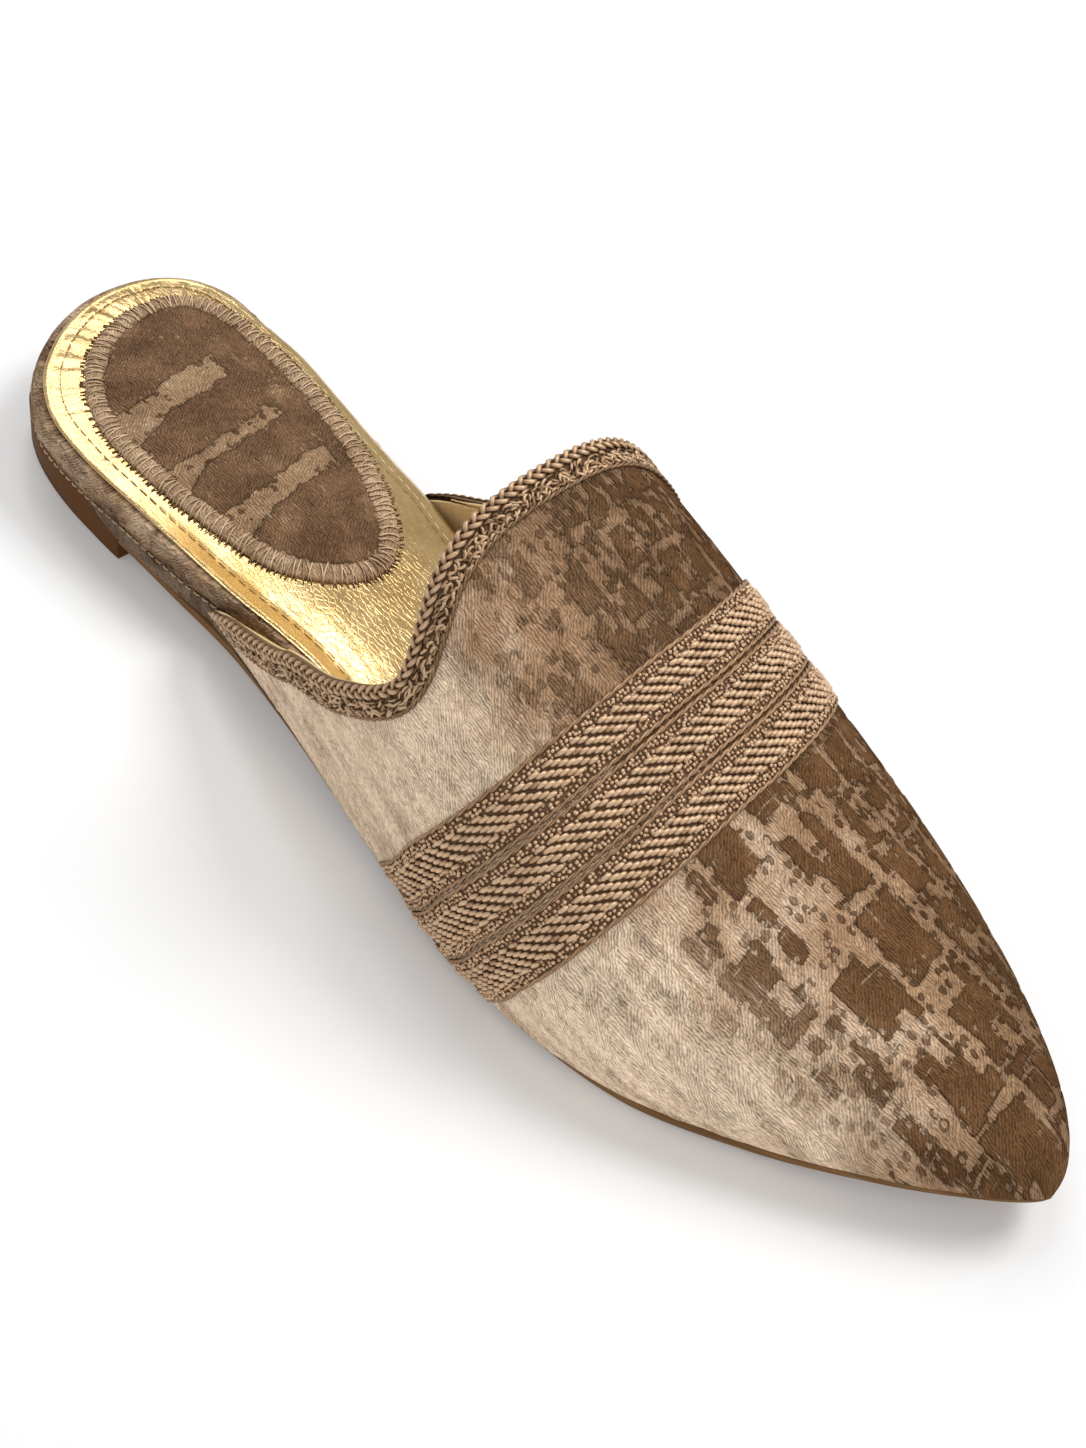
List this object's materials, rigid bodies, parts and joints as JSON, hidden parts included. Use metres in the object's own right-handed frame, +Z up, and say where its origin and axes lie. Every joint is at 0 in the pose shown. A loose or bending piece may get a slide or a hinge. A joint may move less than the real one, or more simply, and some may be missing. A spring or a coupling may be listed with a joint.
{
  "type": "backless pointed slipper",
  "caption": "Backless pointed-toe slipper for the right foot: velvet upper with braided collar and woven vamp bands, gold insole with a velvet heel pad, low stacked heel.",
  "frame": {"origin": "on the floor plane under the middle of the slipper's bounding box", "axes": "+X from heel to toe, +Y to the medial (big toe) side, +Z up from the floor"},
  "size_m": [0.2682, 0.0866, 0.0705],
  "materials": {
    "velvet": "taupe burnout velvet with worn, mottled pile",
    "braid": "brown satin-thread braid with a soft sheen",
    "gold_leather": "gold-foiled leather, glossy and finely wrinkled",
    "sole_leather": "tan-brown leather with a smooth trimmed edge",
    "heel_leather": "dark brown stacked leather, smooth and burnished"
  },
  "bodies": {
    "root": {"heel": "heel_leather", "outsole": "sole_leather", "midsole": "velvet", "footbed": "velvet", "insole": "gold_leather", "heel_pad": "velvet", "upper": "velvet", "collar_braid": "braid", "vamp_band_1": "braid", "vamp_band_2": "braid", "vamp_band_3": "braid"}
  },
  "joints": []
}
